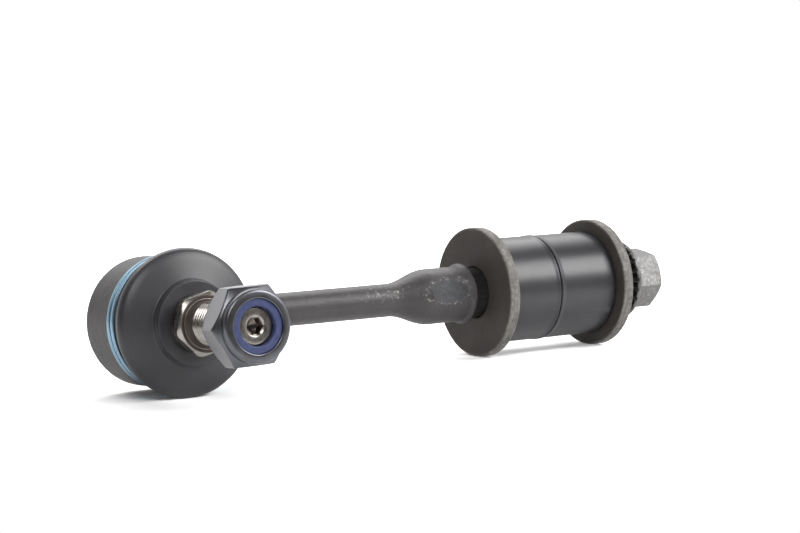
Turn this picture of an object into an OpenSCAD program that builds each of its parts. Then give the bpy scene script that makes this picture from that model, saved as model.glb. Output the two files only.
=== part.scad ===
// Stabilizer link: a forged rod with a ball joint at one end and a bolted bush stack at the other.
// The origin is the ball's centre. +X runs towards the bolt, the stud points along -Y and +Z is up.
// Sizes are in millimetres.

/* [Rod] */
// rod diameter
rod_d = 10; // [8:0.5:12]
// ball centre to the face of the rod's thick end, along the rod
rod_length = 104.7; // [85:0.1:160]
// distance of the rod's axis behind the ball centre
rod_setback = 6; // [5.8:0.1:7.5]
// diameter where the rod meets the housing
rod_root_d = 12; // [11:0.5:12]
// diameter of the thick end that takes the bolt
rod_end_d = 17; // [16.5:0.5:19]
// length of the thick end at full diameter
rod_end_length = 13.5; // [12:0.5:16]
// length of the taper from rod to thick end
rod_taper = 14; // [8:0.5:18]
// height of the rim left round the rod's end
rod_rim = 0.8; // [0.4:0.1:1.2]
// size across the two pressed ovals on the thick end
rod_flats = 15.2; // [14.6:0.1:16]
// length of the pressed ovals
rod_flat_length = 15; // [8:0.5:16]
// how far the pressed ovals are turned about the rod, in degrees
rod_flat_turn = 10; // [0:1:30]

/* [Ball housing] */
// housing diameter
housing_d = 37; // [36.5:0.1:38]
// ball centre to the back rim
housing_back = 15.5; // [15:0.1:17]
// ball centre to the front face, under the boot
housing_front = 8.5; // [8:0.1:9]
// radius of the rounded back edge
housing_edge = 3; // [1.5:0.1:3.2]
// thickness of the cover closing the back
cap_t = 2.5; // [2:0.1:2.8]
// diameter of the cover closing the back
cap_d = 28.6; // [28:0.1:29]

/* [Ball stud] */
// ball diameter
ball_d = 20; // [19.5:0.1:20.4]
// diameter of the waist next to the ball
waist_d = 10.6; // [10:0.1:11]
// diameter of the plain shank in the boot's neck
shank_d = 13.8; // [13.6:0.1:14.4]
// thread diameter
thread_d = 12; // [11:0.25:12.25]
// ball centre to the threaded end
stud_length = 50.7; // [47:0.1:56]
// size across the flats of the hexagon collar
collar_af = 16.2; // [15.6:0.1:19]
// thickness of the hexagon collar
collar_t = 4; // [3:0.5:6]
// ball centre to the back of the hexagon collar
collar_at = 20.1; // [19:0.1:21]
// size across the flats of the key socket in the end
socket_af = 5; // [4:0.5:6]
// depth of the key socket
socket_depth = 5; // [3:0.5:8]

/* [Ball seat] */
// wall of the plastic seat round the ball
seat_wall = 2.6; // [2.3:0.1:2.8]
// how far the seat wraps over the front of the ball
seat_wrap = 5; // [4:0.1:5.5]
// width of the slits that let the ball snap in
seat_slit = 1.2; // [0.8:0.1:2]

/* [Dust boot] */
// largest diameter of the boot
boot_d = 41.5; // [40.8:0.1:44]
// ball centre to the front edge of the boot's rim
boot_rim_at = 12.8; // [12.6:0.1:13.2]
// length of the boot's flare behind its rim
boot_flare = 7.5; // [6.4:0.1:8]
// clip ring to the moulding seam on the boot's flare
boot_seam = 2.7; // [2:0.1:3.4]
// thickness of the boot's wall
boot_wall = 2; // [1.6:0.1:2.4]
// diameter of the flat neck of the boot
neck_d = 23.4; // [22:0.1:25]
// ball centre to the front face of the boot's neck
neck_at = 18; // [17.6:0.1:18.5]

/* [Clip ring] */
// width of the flat wire
wire_w = 1.9; // [1.4:0.1:2]
// thickness of the flat wire
wire_t = 1.2; // [0.8:0.1:1.3]
// gap between the two turns
wire_gap = 0.3; // [0.2:0.05:0.5]

/* [Lock nut] */
// size across the flats
nut_af = 21; // [19:0.5:22]
// height of the nut with its collar
nut_h = 10; // [9.5:0.1:13]
// height of the hexagon part
nut_hex_h = 5.8; // [5:0.1:6]
// how far the hexagon is turned about the stud, in degrees
nut_turn = 7; // [0:1:60]
// diameter of the nylon ring that shows
nylon_d = 14.7; // [14:0.1:15.2]
// bore of the nylon ring
nylon_bore_d = 10.5; // [10.4:0.1:11]

/* [Bush stack] */
// washer diameter
washer_d = 40; // [36:0.5:44]
// washer thickness
washer_t = 3.4; // [2.5:0.1:4]
// bush diameter
bush_d = 32.5; // [28:0.5:35]
// length of the bush next to the rod
bush_inner_length = 18.6; // [17:0.1:20.5]
// length of the bush next to the bolt
bush_outer_length = 22; // [19:0.1:23]
// sleeve diameter
sleeve_d = 15.5; // [15:0.1:16]
// sleeve length, from the rod's end to the bolt's flange
sleeve_length = 59.5; // [58:0.1:66]
// free gap between the rod's end and the first washer
stack_gap = 4.4; // [2:0.1:6]

/* [Bolt] */
// bolt thread diameter
bolt_d = 12; // [11:0.25:12]
// size across the flats of the head
bolt_af = 17; // [16:0.5:18]
// height of the head with its flange
bolt_head_h = 13.5; // [11:0.1:15]
// flange diameter
bolt_flange_d = 25.5; // [22:0.5:28]
// thickness of the flange at its rim
bolt_rim_t = 1.6; // [1:0.1:2]
// length of thread held in the rod
bolt_grip = 10.5; // [8:0.5:11]

/* [Clearances] */
// radial clearance of the ball in its seat and of the threads
running_gap = 0.03; // [0.02:0.01:0.08]
// radial clearance of rings and bushes over the pieces they sit on
sliding_gap = 0.08; // [0.05:0.01:0.1]
// clearance between pieces that sit side by side
seating_gap = 0.05; // [0.03:0.01:0.1]

/* [Hidden] */
$fn = 96;
ball_r = ball_d / 2;
seat_r = ball_r + seat_wall;
seat_back = -(housing_back - 0.5 - cap_t);
housing_r = housing_d / 2;
cap_r = cap_d / 2;
wire_turns = 2;
ring_w = wire_turns * wire_w + (wire_turns - 1) * wire_gap + wire_w * 0.1;
ring_end = boot_rim_at - boot_flare;
ring_start = ring_end - ring_w;
ring_in_r = housing_r - 0.6;
cuff_back = ring_start - 0.7;
cuff_in_r = ring_in_r - 1.5;
nose_lip = housing_r - 1.2;
neck_ring_in = shank_d / 2 + 0.45;
neck_ring_out = neck_d / 2 - 2.2;
neck_ring_at = neck_at - 2.5;
neck_ring_w = 1.4;
thread_r = thread_d / 2;
collar_face = collar_at + collar_t;
nut_pocket = stud_length - 0.3;
nut_at = nut_pocket + 2.3 - nut_h;
nylon_r = nylon_d / 2 + 0.35;
rod_tap = bolt_grip + 1.5;
press_depth = (rod_end_d - rod_flats) / 2;
press_r = (rod_flat_length * rod_flat_length / 4 + press_depth * press_depth) / 2 / press_depth;
inner_washer_at = rod_length + stack_gap;
inner_bush_at = inner_washer_at + washer_t;
outer_bush_at = inner_bush_at + bush_inner_length;
outer_washer_at = outer_bush_at + bush_outer_length;
flange_at = rod_length + sleeve_length;

// points on an arc about c, from angle a to angle b
function arc(c, r, a, b, n = 8) =
    [for (i = [0:n]) [c[0] + r * cos(a + (b - a) * i / n), c[1] + r * sin(a + (b - a) * i / n)]];

// points on a smooth curve that leaves p along q - p and reaches s along s - r
function curve(p, q, r, s, n = 8) =
    [for (i = [0:n]) let (t = i / n, u = 1 - t)
        u * u * u * p + 3 * u * u * t * q + 3 * u * t * t * r + t * t * t * s];

// turns what is drawn along +Z to the stud's direction
module on_stud() rotate([90, 0, 0]) children();

// turns what is drawn along +Z to the rod's direction, on the rod's axis
module on_rod() translate([0, rod_setback, 0]) rotate([0, 90, 0]) children();

module turned(points) rotate_extrude() polygon(points);

// six-sided bar with its corners turned off at one or both ends
module hexagon(af, h, low, high) {
    r = af / 2 / cos(30);
    face = af * 0.475;
    drop = (r - face) * tan(30);
    intersection() {
        cylinder(h = h, r = r, $fn = 6);
        turned([[0, 0], [low ? face : r + 1, 0], [r + 1, low ? drop * (r + 1 - face) / (r - face) : 0],
            [r + 1, high ? h - drop * (r + 1 - face) / (r - face) : h], [high ? face : r + 1, h], [0, h]]);
    }
}

// Forged and black-coated link: the ball housing, the rod and the thick end tapped for the bolt.
module link_forging() color("#4d4a4b") difference() {
    union() {
        on_stud() turned(concat(
            [[0, -housing_back]],
            arc([housing_r - housing_edge, housing_edge - housing_back], housing_edge, -90, 0),
            [[housing_r, cuff_back - 0.3], [cuff_in_r - seating_gap, cuff_back - 0.3],
             [cuff_in_r - seating_gap, ring_end], [nose_lip - 0.25, ring_end + 0.3],
             [nose_lip - 0.25, ring_end + 0.9], [nose_lip - 1.6, housing_front], [0, housing_front]]));
        on_rod() turned(concat(
            [[0, 0], [rod_root_d / 2, 0]],
            curve([rod_root_d / 2, housing_r - 1], [rod_root_d / 2, housing_r + 3],
                [rod_d / 2, housing_r + 3], [rod_d / 2, housing_r + 10]),
            curve([rod_d / 2, rod_length - rod_end_length - rod_taper],
                [rod_d / 2, rod_length - rod_end_length - rod_taper * 0.65],
                [rod_end_d / 2, rod_length - rod_end_length - rod_taper * 0.35],
                [rod_end_d / 2, rod_length - rod_end_length], 10),
            [[rod_end_d / 2, rod_length - 2.3], [rod_end_d / 2 + rod_rim, rod_length - 1.3],
             [rod_end_d / 2 + rod_rim, rod_length - 0.7], [rod_end_d / 2 + rod_rim - 0.7, rod_length],
             [0, rod_length]]));
    }
    // bore for the seat, the cover's step with its rolled lip, and the mouth for the stud
    on_stud() turned([[0, -housing_back - 1], [cap_r - 1.2, -housing_back - 1],
        [cap_r - 1.2, -housing_back], [cap_r + seating_gap, -housing_back + 1.1],
        [cap_r + seating_gap, seat_back], [seat_r + seating_gap, seat_back],
        [seat_r + seating_gap, seat_wrap + seating_gap], [ball_r - 0.6, seat_wrap + seating_gap],
        [ball_r + 1.4, housing_front], [ball_r + 2, housing_front + 1], [0, housing_front + 1]]);
    // tapped hole for the bolt
    on_rod() turned([[0, rod_length - rod_tap - 3], [bolt_d / 2 + running_gap, rod_length - rod_tap],
        [bolt_d / 2 + running_gap, rod_length - 0.8], [bolt_d / 2 + 0.8, rod_length],
        [bolt_d / 2 + 0.8, rod_length + 1], [0, rod_length + 1]]);
    // pressed ovals on the thick end
    for (side = [-1, 1])
        translate([rod_length - 2.4 - rod_flat_length / 2, rod_setback, 0]) rotate([-rod_flat_turn, 0, 0])
            translate([0, side * (rod_flats / 2 + press_r), -rod_end_d]) cylinder(r = press_r, h = 2 * rod_end_d);
}

// Plastic seat that wraps the ball, slit at the mouth so that the ball snaps in.
module ball_seat() color("#e8e4d8") on_stud() difference() {
    translate([0, 0, seat_back]) cylinder(r = seat_r, h = seat_wrap - seat_back);
    sphere(r = ball_r + running_gap);
    for (a = [0:60:120]) rotate([0, 0, a])
        translate([-seat_r - 1, -seat_slit / 2, 1]) cube([2 * seat_r + 2, seat_slit, seat_wrap]);
}

// Pressed steel cover with a dished middle, held by the rolled lip of the housing.
module housing_cap() color("#3f3d3e") on_stud() turned([
    [0, seat_back - cap_t + 0.7], [cap_r * 0.45, seat_back - cap_t + 0.7], [cap_r * 0.58, seat_back - cap_t],
    [cap_r - 0.75, seat_back - cap_t], [cap_r, seat_back - cap_t + 0.75],
    [cap_r, seat_back - seating_gap], [0, seat_back - seating_gap]]);

// Flat spring wire wound in two turns that holds the boot's cuff on the housing.
module boot_clip_ring() color("#5b93bf") on_stud() {
    steps = 120;
    rise = wire_w + wire_gap;
    low = ring_in_r + sliding_gap;
    high = low + wire_t;
    sweep = 360 * (wire_turns - 1) + 352;
    rings = [for (i = [0:steps]) let (a = 20 + sweep * i / steps,
        z = ring_start + 0.02 + rise * min(1, max(0, (i / steps - 0.42) / 0.16)), c = cos(a), s = sin(a))
        [[low * c, low * s, z], [high * c, high * s, z], [high * c, high * s, z + wire_w],
         [low * c, low * s, z + wire_w]]];
    points = [for (q = rings) for (p = q) p];
    sides = [for (i = [0:steps - 1]) for (k = [0:3])
        [4 * i + k, 4 * i + (k + 1) % 4, 4 * (i + 1) + (k + 1) % 4, 4 * (i + 1) + k]];
    polyhedron(points, concat([[3, 2, 1, 0]], sides, [[4 * steps, 4 * steps + 1, 4 * steps + 2, 4 * steps + 3]]));
}

// Rubber boot: a cuff on the housing, a wide rim, a saucer front and a flat neck round the stud.
module dust_boot() color("#3c3b3d") {
    rim_r = boot_d / 2;
    neck_r = neck_d / 2;
    seam_r = rim_r - 1.2;
    seam_at = ring_end + boot_seam;
    outside = concat(
        [[cuff_in_r, cuff_back], [housing_r + 0.1, cuff_back], [housing_r + 0.1, ring_start - 0.1],
         [ring_in_r, ring_start - 0.1], [ring_in_r, ring_end + 0.1], [housing_r + 0.2, ring_end + 0.3],
         [seam_r - 0.05, seam_at - 0.3], [seam_r - 0.35, seam_at], [seam_r + 0.1, seam_at + 0.3]],
        curve([seam_r + 0.3, seam_at + 0.8], [seam_r + 0.8, (seam_at + boot_rim_at) / 2],
            [rim_r, boot_rim_at - 1.6], [rim_r, boot_rim_at - 0.4], 5),
        curve([rim_r, boot_rim_at], [rim_r - 0.2, boot_rim_at + 1.5], [rim_r - 1.6, boot_rim_at + 2],
            [rim_r - 3.3, boot_rim_at + 2.2], 8),
        curve([rim_r - 4, boot_rim_at + 2.26], [rim_r - 5.6, boot_rim_at + 2.4], [neck_r + 1.2, neck_at - 2.4],
            [neck_r + 0.3, neck_at - 1.4], 8),
        [[neck_r, neck_at - 0.9]],
        arc([neck_r - 0.7, neck_at - 0.7], 0.7, 0, 90, 4),
        [[shank_d / 2 + 1.2, neck_at], [shank_d / 2 + seating_gap, neck_at - 0.6]]);
    inside = concat(
        [[shank_d / 2 + seating_gap, neck_ring_at + neck_ring_w + seating_gap],
         [neck_ring_out + seating_gap, neck_ring_at + neck_ring_w + seating_gap],
         [neck_ring_out + seating_gap, neck_ring_at - seating_gap],
         [shank_d / 2 + seating_gap, neck_ring_at - seating_gap], [shank_d / 2 + seating_gap, neck_ring_at - 1],
         [shank_d / 2 + 1.2, neck_at - 2.6 - boot_wall]],
        curve([neck_r + 0.6, neck_at - 2.5 - boot_wall], [neck_r + 3.6, neck_at - 2.3 - boot_wall],
            [rim_r - boot_wall - 0.3, boot_rim_at + 1.2], [rim_r - boot_wall, boot_rim_at - 0.8], 10),
        curve([rim_r - boot_wall - 0.3, boot_rim_at - 2], [rim_r - boot_wall - 0.8, boot_rim_at - 3.6],
            [nose_lip, ring_end + 2], [nose_lip, ring_end + 1], 4),
        [[nose_lip, ring_end + 0.3], [cuff_in_r, ring_end - 0.05]]);
    on_stud() turned(concat(outside, inside));
}

// Steel ring held inside the boot's neck, which keeps the rubber tight round the stud.
module boot_neck_ring() color("#9a9a98") on_stud() turned([
    [neck_ring_in, neck_ring_at], [neck_ring_out, neck_ring_at],
    [neck_ring_out, neck_ring_at + neck_ring_w], [neck_ring_in, neck_ring_at + neck_ring_w]]);

// Plated ball stud: ball, waist, plain shank, hexagon collar and thread with a key socket in its end.
module ball_stud() color("#c9c6c0") on_stud() difference() {
    union() {
        sphere(r = ball_r);
        turned(concat([[0, 0], [waist_d / 2, 0]],
            curve([waist_d / 2, ball_r + 0.8], [waist_d / 2, ball_r + 2.4],
                [shank_d / 2, ball_r + 2.2], [shank_d / 2, ball_r + 4.4], 8),
            [[shank_d / 2, collar_at + 0.01], [0, collar_at + 0.01]]));
        translate([0, 0, collar_at]) rotate([0, 0, 30]) hexagon(collar_af, collar_t, true, true);
        turned([[0, collar_at + 1], [thread_r + 0.35, collar_at + 1], [thread_r + 0.35, collar_face + 0.4],
            [thread_r - 0.5, collar_face + 0.7], [thread_r - 0.5, collar_face + 0.9],
            [thread_r, collar_face + 1.4], [thread_r, stud_length - 1.1],
            [thread_r - 1.2, stud_length], [0, stud_length]]);
    }
    translate([0, 0, stud_length - socket_depth])
        cylinder(h = socket_depth + 1, r = socket_af / 2 / cos(30), $fn = 6);
    translate([0, 0, stud_length - socket_depth - 1.2])
        cylinder(h = 1.21, r1 = 0, r2 = socket_af / 2);
    translate([0, 0, stud_length - 0.5])
        cylinder(h = 0.6, r1 = socket_af / 2, r2 = socket_af / 2 + 0.6);
}

// Nylon ring crimped into the nut's collar, which grips the thread.
module nylon_insert() color("#556095") on_stud() turned([
    [nylon_bore_d / 2, nut_pocket + seating_gap], [nylon_r - seating_gap, nut_pocket + seating_gap],
    [nylon_r - seating_gap, nut_at + nut_h - 0.9], [nylon_d / 2 - 0.2, nut_at + nut_h - 0.6],
    [nylon_bore_d / 2 + 0.3, nut_at + nut_h - 0.6], [nylon_bore_d / 2, nut_at + nut_h - 0.9]]);

// Lock nut: a hexagon with a round collar whose lip is rolled over the nylon ring.
module lock_nut() color("#5a5b5e") on_stud() translate([0, 0, nut_at]) rotate([0, 0, nut_turn]) {
    shell = nylon_r + 1.15;
    difference() {
        union() {
            hexagon(nut_af, nut_hex_h, true, true);
            turned(concat([[0, 1], [nut_af * 0.47, nut_hex_h - 0.02]],
                curve([shell + 0.5, nut_hex_h + 0.3], [shell, nut_hex_h + 0.6],
                    [shell, nut_hex_h + 1], [shell, nut_hex_h + 1.6], 4),
                arc([shell - 1.3, nut_h - 1.3], 1.3, 0, 90, 6), [[0, nut_h]]));
        }
        turned([[0, -1], [thread_r + 0.8, -1], [thread_r + 0.8, 0], [thread_r + running_gap, 0.8],
            [thread_r + running_gap, nut_pocket - nut_at], [nylon_r, nut_pocket - nut_at],
            [nylon_r, nut_h - 0.75], [nylon_d / 2, nut_h - 0.5], [nylon_d / 2, nut_h + 1], [0, nut_h + 1]]);
    }
}

// Thick steel washer with softened edges.
module washer(at) color("#6b6762") on_rod() translate([0, 0, at]) turned([
    [sleeve_d / 2 + 0.3, 0], [washer_d / 2 - 0.5, 0], [washer_d / 2, 0.5], [washer_d / 2, washer_t - 0.5],
    [washer_d / 2 - 0.5, washer_t], [sleeve_d / 2 + 0.3, washer_t]]);

// Washer between the rod's end and the first bush.
module washer_inner() washer(inner_washer_at);

// Washer between the second bush and the bolt's flange.
module washer_outer() washer(outer_washer_at);

// Rubber bush: a plain barrel with a chamfer at the washer and a thin lip of flash at the seam.
module bush(length) color("#2a2a2c") {
    r = bush_d / 2;
    bore = sleeve_d / 2 + sliding_gap;
    turned([[bore + 0.6, 0], [r - 1, 0], [r - 0.25, 0.8], [r, 1.3], [r, length - 1],
        [r + 0.3, length - 0.4], [r + 0.15, length], [bore + 0.6, length],
        [bore, length - 0.6], [bore, 0.6]]);
}

// Bush next to the rod.
module bush_inner() on_rod() translate([0, 0, inner_bush_at]) bush(bush_inner_length);

// Bush next to the bolt, turned to face the other.
module bush_outer() on_rod() translate([0, 0, outer_washer_at]) mirror([0, 0, 1]) bush(bush_outer_length);

// Steel sleeve on the bolt that sets how far the bushes are squeezed.
module spacer_sleeve() color("#474546") on_rod() translate([0, 0, rod_length]) turned([
    [bolt_d / 2 + 0.25, seating_gap], [sleeve_d / 2 - 0.4, seating_gap], [sleeve_d / 2, 0.4 + seating_gap],
    [sleeve_d / 2, sleeve_length - 0.4 - seating_gap], [sleeve_d / 2 - 0.4, sleeve_length - seating_gap],
    [bolt_d / 2 + 0.25, sleeve_length - seating_gap]]);

// Flange bolt: a shank through the sleeve, a conical flange with teeth below it, and a hexagon head.
module flange_bolt() color("#77756f") on_rod() translate([0, 0, flange_at]) {
    flange_r = bolt_flange_d / 2;
    cone_h = bolt_rim_t + (flange_r - bolt_af / 2) * 0.42;
    difference() {
        union() {
            turned([[0, 0], [flange_r - 0.5, 0], [flange_r, 0.5], [flange_r, bolt_rim_t],
                [bolt_af * 0.45, cone_h], [0, cone_h]]);
            translate([0, 0, 1]) hexagon(bolt_af, bolt_head_h - 1, false, true);
        }
        // shallow dish in the top of the head
        translate([0, 0, bolt_head_h - 0.7]) cylinder(h = 1, r1 = bolt_af * 0.33, r2 = bolt_af * 0.40);
        // notches between the teeth, clear of the sleeve's seat
        for (a = [0:15:345]) rotate([0, 0, a]) translate([sleeve_d / 2 + 1.2, -0.55, -1]) rotate([0, 0, 6])
            cube([flange_r, 1.1, 1.6]);
    }
    turned([[0, -sleeve_length - bolt_grip], [bolt_d / 2 - 1.4, -sleeve_length - bolt_grip],
        [bolt_d / 2, -sleeve_length - bolt_grip + 1.4], [bolt_d / 2, 1], [0, 1]]);
}

link_forging();
ball_seat();
housing_cap();
boot_clip_ring();
dust_boot();
boot_neck_ring();
ball_stud();
nylon_insert();
lock_nut();
washer_inner();
bush_inner();
bush_outer();
washer_outer();
spacer_sleeve();
flange_bolt();
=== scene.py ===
"""Looks of a stabilizer link: a forged rod with a ball joint at one end and a bolted bush stack at the other.

The frame is that of the solids: the ball's centre is the origin, +X runs to the bolt, the stud points along -Y and
+Z is up. Sizes in the sections are in millimetres, and meshes and materials are in metres, so a pattern of n mm has
the scale 1000 / n."""

import bpy
import numpy as np
from mathutils import Matrix, Vector


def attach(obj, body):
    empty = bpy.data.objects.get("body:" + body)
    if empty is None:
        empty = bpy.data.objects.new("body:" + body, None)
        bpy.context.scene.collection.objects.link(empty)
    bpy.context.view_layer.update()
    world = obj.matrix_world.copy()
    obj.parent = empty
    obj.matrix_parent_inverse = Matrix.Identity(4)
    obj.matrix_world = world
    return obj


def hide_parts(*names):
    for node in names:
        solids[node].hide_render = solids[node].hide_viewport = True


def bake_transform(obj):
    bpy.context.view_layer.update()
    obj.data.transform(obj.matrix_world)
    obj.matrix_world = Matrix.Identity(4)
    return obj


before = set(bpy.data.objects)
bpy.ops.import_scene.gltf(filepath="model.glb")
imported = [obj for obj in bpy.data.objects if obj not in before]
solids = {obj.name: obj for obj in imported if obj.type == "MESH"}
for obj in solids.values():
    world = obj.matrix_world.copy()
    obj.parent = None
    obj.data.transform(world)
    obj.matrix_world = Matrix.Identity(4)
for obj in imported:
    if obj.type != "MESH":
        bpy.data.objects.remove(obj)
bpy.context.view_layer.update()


# Forged link
# One steel forging: the ball housing, the rod and the thick end that is tapped for the bolt. It is dip-coated black,
# and the coat is scuffed where the thick end was pressed flat.
def linear(code):
    """Linear RGBA of an sRGB hex colour: the low end is divided by 12.92, the rest is raised to the power 2.4."""
    c = np.array([int(code[i:i + 2], 16) for i in (1, 3, 5)]) / 255
    return (*np.where(c <= 0.04045, c / 12.92, ((c + 0.055) / 1.055) ** 2.4), 1.0)


def node(tree, kind, sockets=(), **settings):
    """Adds a node, sets its settings, and gives each named or numbered socket a value or a link. On a colour Mix the
    sockets 6 and 7 are the two colours, and output 2 is the mixed one."""
    added = tree.nodes.new("ShaderNode" + kind)
    for key, value in settings.items():
        setattr(added, key, value)
    for key, value in dict(sockets).items():
        if isinstance(value, bpy.types.NodeSocket):
            tree.links.new(value, added.inputs[key])
        else:
            added.inputs[key].default_value = value
    return added


def start_finish(name):
    """A new material with its node tree and the Object coordinates of whatever wears it."""
    made = bpy.data.materials.new(name)
    made.use_nodes = True
    made.node_tree.nodes.remove(made.node_tree.nodes["Principled BSDF"])
    return made, made.node_tree, node(made.node_tree, "TexCoord").outputs["Object"]


def end_finish(tree, shader):
    """Puts the finished shader on the material's output."""
    tree.links.new(shader.outputs[0], tree.nodes["Material Output"].inputs["Surface"])


def wear(node_name, finish):
    """Gives a solid that stays in view its finish."""
    solids[node_name].data.materials.clear()
    solids[node_name].data.materials.append(finish)


# Middles and half sizes of the pressed ovals, front and back at any depth, and of the rubbed patch on the taper.
oval_at, oval_half = np.array([94.8, 0, 1.4]), np.array([7.5, np.inf, 3.9])
rub_at, rub_half = np.array([74, 1.5, 2.2]), np.array([15, 4, 2.6])

# Black dip coat on forged steel: dark grey with a brown cast, half matt, softly dented like the forging below it,
# bluer in the pressed ovals, with pale bare specks round them and along the taper.
black_coat, tree, place = start_finish("black_dip_coat_on_forging")
patches = node(tree, "TexNoise", {"Vector": place, "Scale": 1000 / 9, "Detail": 4.0})
dents = node(tree, "TexNoise", {"Vector": place, "Scale": 1000 / 2.6, "Detail": 3.0})
peel = node(tree, "TexNoise", {"Vector": place, "Scale": 1000 / 0.45, "Detail": 2.0})
grit = node(tree, "TexNoise", {"Vector": place, "Scale": 1000 / 1.2, "Detail": 6.0, "Roughness": 0.75})
coat = node(tree, "Mix", {"Factor": patches.outputs["Fac"], 6: linear("#373435"), 7: linear("#4e4a4b")},
            data_type="RGBA")
oval = node(tree, "Mapping", {"Vector": place, "Location": tuple(-oval_at / oval_half),
                              "Scale": tuple(1000 / oval_half)})
from_oval = node(tree, "VectorMath", {0: oval.outputs[0]}, operation="LENGTH").outputs["Value"]
outside = node(tree, "MapRange", {"Value": from_oval, "From Min": 0.98, "From Max": 1.4, "To Min": 1.0, "To Max": 0.0})
inside = node(tree, "MapRange", {"Value": from_oval, "From Min": 0.82, "From Max": 0.96})
edge = node(tree, "Math", {0: outside.outputs[0], 1: inside.outputs[0]}, operation="MULTIPLY")
taper = node(tree, "Mapping", {"Vector": place, "Location": tuple(-rub_at / rub_half),
                               "Scale": tuple(1000 / rub_half)})
from_rub = node(tree, "VectorMath", {0: taper.outputs[0]}, operation="LENGTH").outputs["Value"]
rubbed = node(tree, "MapRange", {"Value": from_rub, "From Min": 0.3, "From Max": 1.15, "To Min": 0.9, "To Max": 0.0})
worn = node(tree, "Math", {0: edge.outputs[0], 1: rubbed.outputs[0]}, operation="MAXIMUM")
speck = node(tree, "MapRange", {"Value": grit.outputs["Fac"], "From Min": 0.55, "From Max": 0.66})
bare = node(tree, "Math", {0: speck.outputs[0], 1: worn.outputs[0]}, operation="MULTIPLY")
pressed = node(tree, "MapRange", {"Value": from_oval, "From Min": 0.85, "From Max": 0.97, "To Min": 0.85,
                                  "To Max": 0.0})
flattened = node(tree, "Mix", {"Factor": pressed.outputs[0], 6: coat.outputs[2], 7: linear("#313338")},
                 data_type="RGBA")
colour = node(tree, "Mix", {"Factor": bare.outputs[0], 6: flattened.outputs[2], 7: linear("#b4b0ac")},
              data_type="RGBA")
sheen = node(tree, "MapRange", {"Value": peel.outputs["Fac"], "To Min": 0.36, "To Max": 0.54})
height = node(tree, "Math", {0: peel.outputs["Fac"], 1: 0.4, 2: dents.outputs["Fac"]}, operation="MULTIPLY_ADD")
bump = node(tree, "Bump", {"Height": height.outputs[0], "Strength": 0.6, "Distance": 0.0003})
shader = node(tree, "BsdfPrincipled", {"Base Color": colour.outputs[2], "Roughness": sheen.outputs[0],
                                       "Normal": bump.outputs[0]})
end_finish(tree, shader)
wear("link_forging", black_coat)

# Ball seat
# A moulded ring of acetal plastic, slit at the mouth so that the ball snaps in. It sits in the housing's bore, and the
# cover holds it there.

# Moulded acetal: off-white, waxy, with faint flow clouding.
acetal, tree, place = start_finish("moulded_acetal")
cloud = node(tree, "TexNoise", {"Vector": place, "Scale": 1000 / 5, "Detail": 2.0})
colour = node(tree, "Mix", {"Factor": cloud.outputs["Fac"], 6: linear("#dcd7c9"), 7: linear("#eeeae0")},
              data_type="RGBA")
gloss = node(tree, "MapRange", {"Value": cloud.outputs["Fac"], "To Min": 0.32, "To Max": 0.46})
shader = node(tree, "BsdfPrincipled", {"Base Color": colour.outputs[2], "Roughness": gloss.outputs[0], "IOR": 1.48})
end_finish(tree, shader)
wear("ball_seat", acetal)

# Housing cover
# A pressed steel disc with a dished middle. The housing's rolled lip holds it in the back, and it is coated with the
# forging.
wear("housing_cap", black_coat)


# Clip ring
# Flat spring wire wound in two turns round the boot's cuff. The wire is lacquered light blue, and its own spring
# holds it in the groove.
def shell(name, grid, finish, ring, sharp=40):
    """Mesh of a grid of points whose columns close round. The rows close round as well when ring is true, and
    otherwise the first and the last row each close on their own middle. The sign of the enclosed volume, a sixth of
    the sum of a . (b x c) over the triangles, decides which way the faces run."""
    rows, cols = grid.shape[:2]
    index = np.arange(rows * cols).reshape(rows, cols)
    low = index if ring else index[:-1]
    high = np.roll(index, -1, 0) if ring else index[1:]
    quads = np.stack([low, np.roll(low, -1, 1), np.roll(high, -1, 1), high], -1).reshape(-1, 4)
    points, fans = grid.reshape(-1, 3), np.zeros((0, 3), int)
    if not ring:
        first, last = index[0], index[-1]
        fans = np.concatenate([
            np.stack([np.roll(first, -1), first, np.full(cols, rows * cols)], -1),
            np.stack([last, np.roll(last, -1), np.full(cols, rows * cols + 1)], -1)])
        points = np.concatenate([points, grid[:1].mean(1), grid[-1:].mean(1)])
    triangles = points[np.concatenate([quads[:, :3], quads[:, [0, 2, 3]], fans])]
    if np.einsum("ij,ij", triangles[:, 0], np.cross(triangles[:, 1], triangles[:, 2])) < 0:
        quads, fans = quads[:, ::-1], fans[:, ::-1]
    mesh = bpy.data.meshes.new(name)
    mesh.from_pydata(points.tolist(), [], quads.tolist() + fans.tolist())
    mesh.shade_smooth()
    mesh.set_sharp_from_angle(angle=np.radians(sharp))
    mesh.materials.append(finish)
    piece = bpy.data.objects.new(name, mesh)
    bpy.context.scene.collection.objects.link(piece)
    return piece


def on_stud(r, turn, s):
    """Points at radius r, angle turn and distance s along the stud's axis, which runs along -Y from the ball."""
    r, turn, s = np.broadcast_arrays(r, turn, s)
    return np.stack([r * np.cos(turn), -s, r * np.sin(turn)], -1) / 1000


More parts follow.
